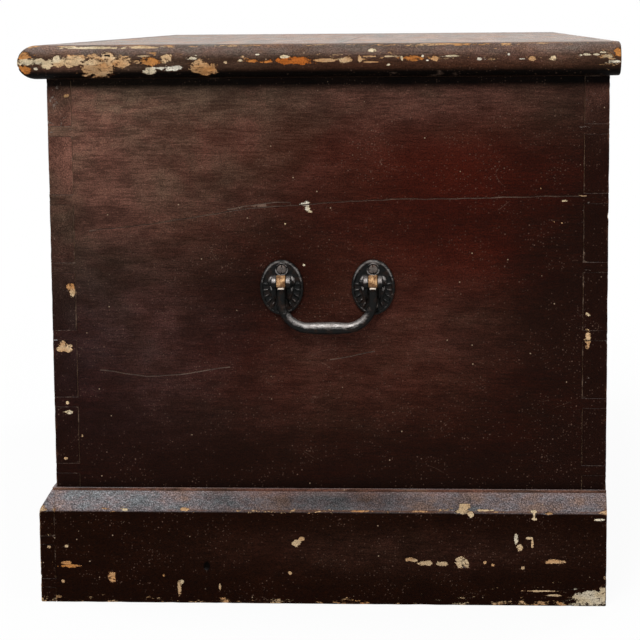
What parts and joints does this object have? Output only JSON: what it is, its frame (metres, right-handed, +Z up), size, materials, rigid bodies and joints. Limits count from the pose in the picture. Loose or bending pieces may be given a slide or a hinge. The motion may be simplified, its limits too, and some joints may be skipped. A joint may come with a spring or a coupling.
{
  "type": "blanket chest",
  "caption": "Low dovetailed wooden chest with a moulded hinged lid, a bevelled plinth, drop handles on its ends and a lock inside the front.",
  "frame": {"origin": "on the floor under the middle of the chest's outline, seen from above with the lid closed", "axes": "+X along the chest, to the right of someone facing its front; the front with the keyhole faces -Y; +Z up"},
  "size_m": [1.003, 0.5296, 0.5063],
  "materials": {
    "painted_case": "old dark red-brown paint and varnish over pine, worn through on edges",
    "painted_plinth": "near black paint over pine, chipped",
    "painted_lid": "dark brown paint over pine, worn to bare wood along the moulding",
    "bare_pine": "unfinished aged pine",
    "handle_iron": "blackened iron, rubbed bright on the rims and eyes",
    "hinge_iron": "rusted dark iron",
    "lock_iron": "old iron plate, dull",
    "nail_iron": "rusted cut nails",
    "screw_iron": "old iron screws",
    "escutcheon_brass": "tarnished brass"
  },
  "bodies": {
    "case": {"front_board": "painted_case", "back_board": "painted_case", "right_end_board": "painted_case", "left_end_board": "painted_case", "bottom_board_1": "bare_pine", "bottom_board_2": "bare_pine", "bottom_board_3": "bare_pine", "bottom_board_4": "bare_pine", "bottom_board_5": "bare_pine", "front_cleat": "bare_pine", "back_cleat": "bare_pine", "right_cleat": "bare_pine", "left_cleat": "bare_pine", "cleat_nails": "nail_iron", "bottom_board_nails": "nail_iron", "front_plinth": "painted_plinth", "right_plinth": "painted_plinth", "left_plinth": "painted_plinth", "plinth_nails": "nail_iron", "right_hinge_case_leaf": "hinge_iron", "left_hinge_case_leaf": "hinge_iron", "hinge_pins": "hinge_iron", "hinge_case_screws": "screw_iron", "right_handle_front_rose": "handle_iron", "right_handle_back_rose": "handle_iron", "right_handle_pins": "handle_iron", "right_handle_screws": "handle_iron", "left_handle_front_rose": "handle_iron", "left_handle_back_rose": "handle_iron", "left_handle_pins": "handle_iron", "left_handle_screws": "handle_iron", "lock_case": "lock_iron", "lock_cover": "lock_iron", "lock_cover_screws": "screw_iron", "lock_screws": "screw_iron", "escutcheon": "escutcheon_brass", "escutcheon_pins": "escutcheon_brass"},
    "lid": {"lid_front_board": "painted_lid", "lid_back_board": "painted_lid", "lid_front_moulding": "painted_lid", "lid_right_moulding": "painted_lid", "lid_left_moulding": "painted_lid", "moulding_nails": "nail_iron", "right_lid_batten": "bare_pine", "left_lid_batten": "bare_pine", "batten_screws": "screw_iron", "right_hinge_lid_leaf": "hinge_iron", "left_hinge_lid_leaf": "hinge_iron", "hinge_lid_screws": "screw_iron", "lock_strike": "lock_iron", "strike_screws": "screw_iron"},
    "right_bail": {"right_handle_bail": "handle_iron"},
    "left_bail": {"left_handle_bail": "handle_iron"},
    "bolt": {"lock_bolt": "lock_iron"}
  },
  "joints": [
    {"name": "lid_hinge", "type": "hinge", "parent": "case", "child": "lid", "pos_m": [0, 0.25775, 0.48415], "axis": [-1, 0, 0], "range_deg": [0, 97]},
    {"name": "right_bail_swing", "type": "hinge", "parent": "case", "child": "right_bail", "pos_m": [0.4895, 0.00675, 0.294], "axis": [0, -1, 0], "range_deg": [-3, 93]},
    {"name": "left_bail_swing", "type": "hinge", "parent": "case", "child": "left_bail", "pos_m": [-0.4895, 0.00675, 0.294], "axis": [0, 1, 0], "range_deg": [-3, 93]},
    {"name": "lock_bolt_throw", "type": "slide", "parent": "case", "child": "bolt", "axis": [1, 0, 0], "range_m": [0, 0.009]}
  ]
}
